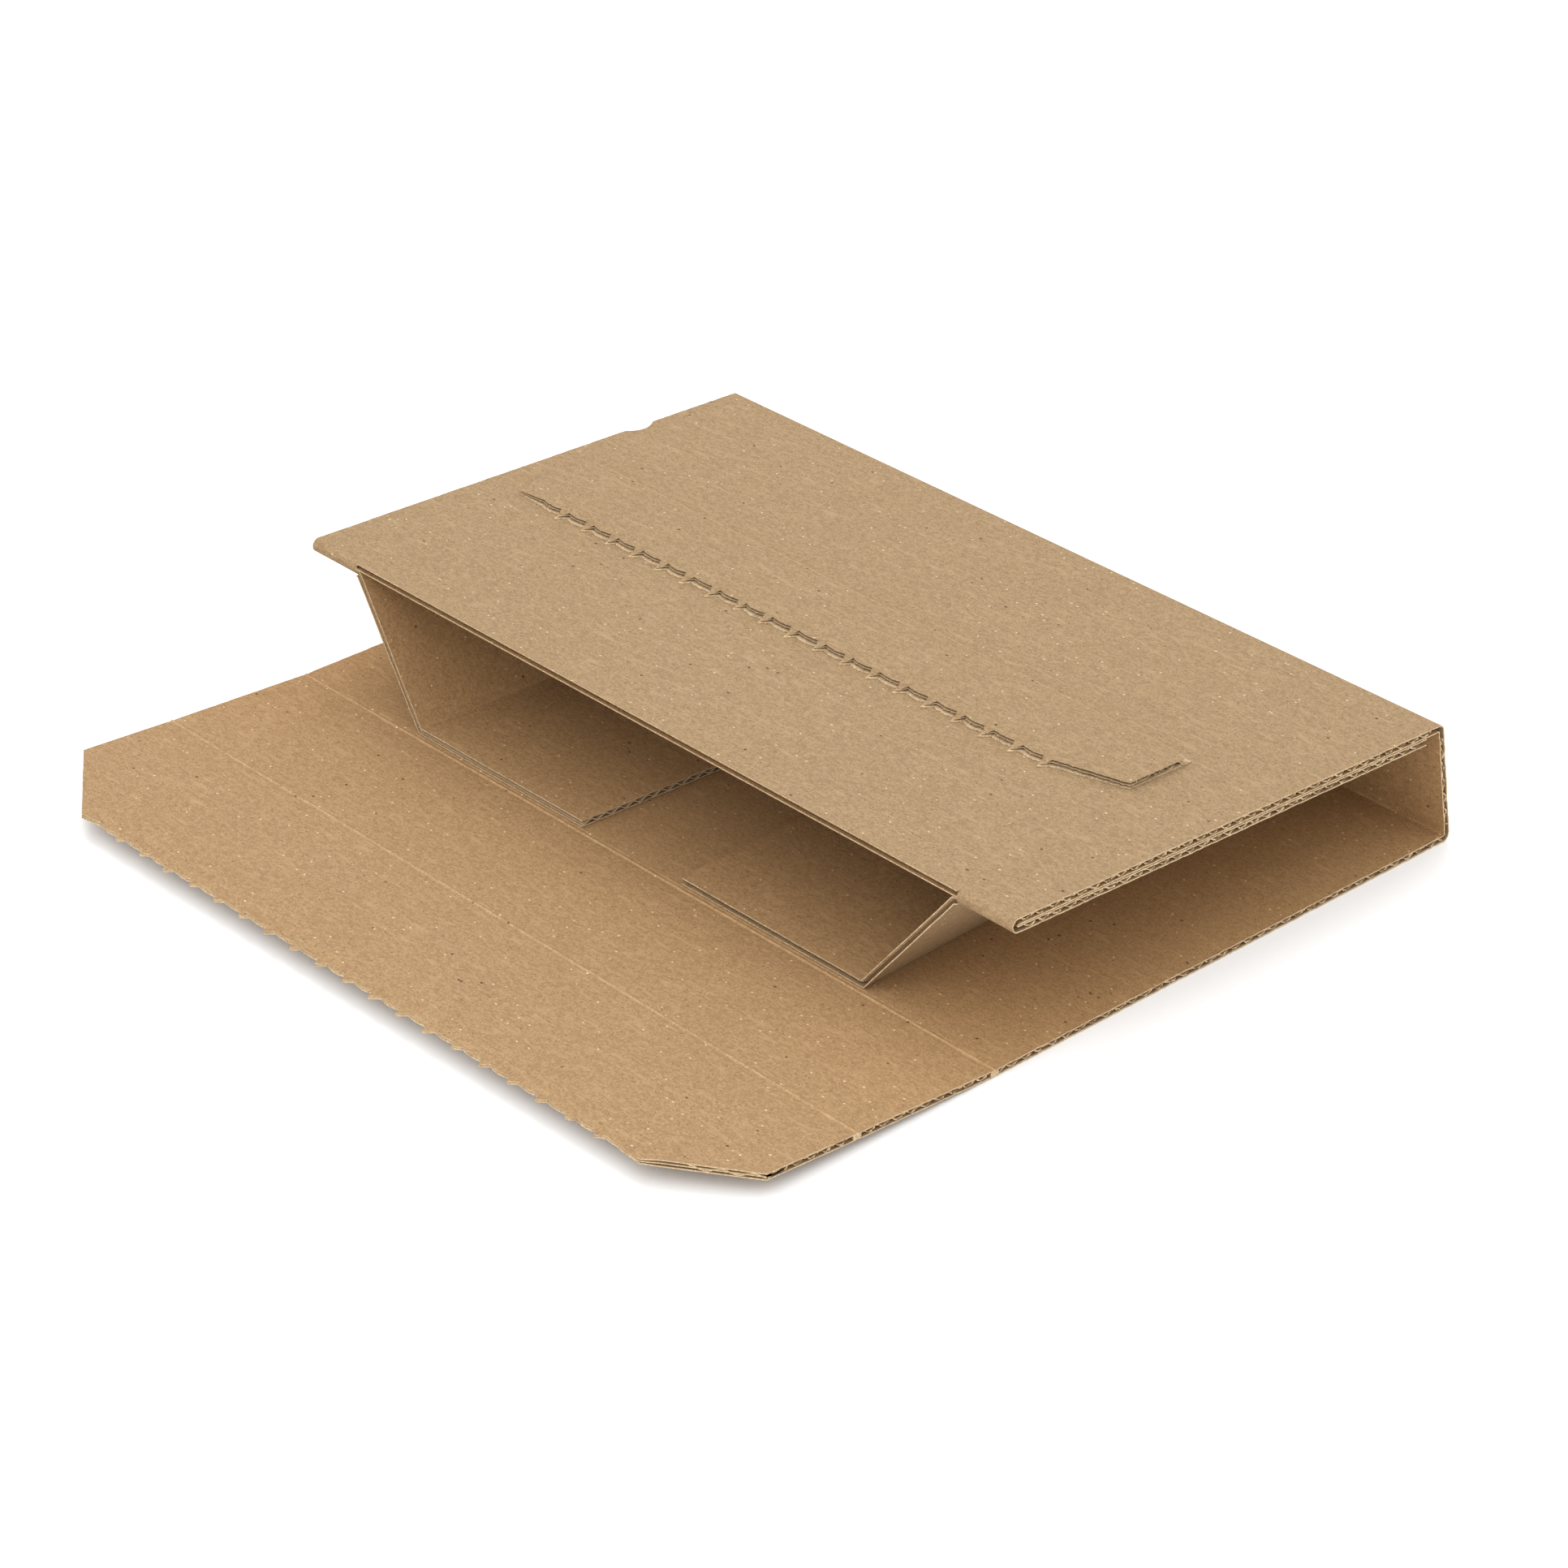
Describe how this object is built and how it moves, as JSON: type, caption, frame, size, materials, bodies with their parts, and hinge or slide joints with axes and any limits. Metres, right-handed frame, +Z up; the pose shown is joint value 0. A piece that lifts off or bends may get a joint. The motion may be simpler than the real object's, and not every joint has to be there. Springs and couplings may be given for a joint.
{
  "type": "wraparound mailer",
  "caption": "Open wraparound mailer of corrugated board: folded sleeve with slanted pocket walls inside, a hinged closing wall and flap, and the torn edges of its tear strip.",
  "frame": {"origin": "middle of the base panel's underside, the face that the mailer lies on", "axes": "+Z up out of the base; +X across the creases, from the closing wall towards the back wall; Y along the creases and the flutes"},
  "size_m": [0.3585, 0.369, 0.0575],
  "materials": {
    "kraft_board": "matt",
    "kraft_strip": "matt",
    "kraft_wall": "matt",
    "kraft_flap": "matt"
  },
  "bodies": {
    "sleeve": {"mailer_sleeve": "kraft_board", "sealed_strip": "kraft_strip"},
    "wall": {"closing_wall": "kraft_wall"},
    "flap": {"closing_flap": "kraft_flap"}
  },
  "joints": [
    {"name": "wall_crease", "type": "hinge", "parent": "sleeve", "child": "wall", "pos_m": [-0.114, 0, 0.00135], "axis": [0, 1, 0], "range_deg": [-3.1, 86.9]},
    {"name": "flap_crease", "type": "hinge", "parent": "wall", "child": "flap", "pos_m": [-0.17611, 0, 0.00471], "axis": [0, 1, 0], "range_deg": [-0.63, 91.4]}
  ]
}
